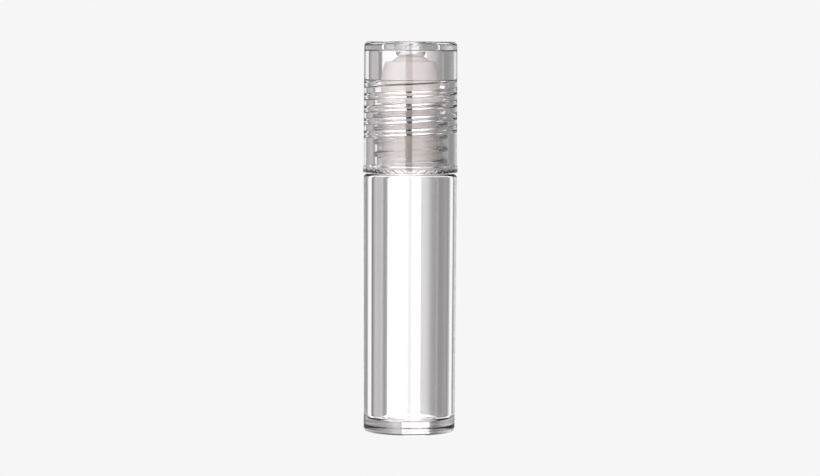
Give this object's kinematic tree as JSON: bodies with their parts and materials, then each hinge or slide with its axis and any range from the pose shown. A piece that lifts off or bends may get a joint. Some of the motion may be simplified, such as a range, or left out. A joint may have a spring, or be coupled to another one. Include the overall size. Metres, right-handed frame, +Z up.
{
  "type": "roll-on lip gloss tube",
  "caption": "Slim clear thick-walled lip gloss tube with a milky roller ball housing under a clear screw cap with a long inner thread",
  "frame": {"origin": "centre of the circle that the base stands on, at the height of the surface", "axes": "+Z up along the tube's axis, -Y towards the viewer, +X to the viewer's right"},
  "size_m": [0.02, 0.02, 0.0823],
  "materials": {
    "bottle_clear": "clear glass-smooth moulded copolyester, thick-walled",
    "housing_milky": "natural milky polyethylene, soft satin",
    "ball_white": "smooth natural white polypropylene",
    "seal_clear": "clear soft elastomer",
    "cap_clear": "clear glossy moulded styrene copolymer"
  },
  "bodies": {
    "tube": {"bottle": "bottle_clear", "roller_housing": "housing_milky"},
    "ball": {"roller_ball": "ball_white"},
    "seal": {"cap_seal": "seal_clear"},
    "cap": {"cap": "cap_clear"}
  },
  "joints": [
    {"name": "ball_roll", "type": "hinge", "parent": "tube", "child": "ball", "pos_m": [0, 0, 0.075], "axis": [1, 0, 0], "continuous": true},
    {"name": "cap_lift", "type": "slide", "parent": "tube", "child": "seal", "axis": [0, 0, 1], "range_m": [0, 0.02893]},
    {"name": "cap_turn", "type": "hinge", "parent": "seal", "child": "cap", "pos_m": [0, 0, 0.0807], "axis": [0, 0, 1], "range_deg": [0, 3960]}
  ],
  "couplings": [
    {"joint": "cap_lift", "follows": "cap_turn", "m_per_rad": 0.00041858}
  ]
}
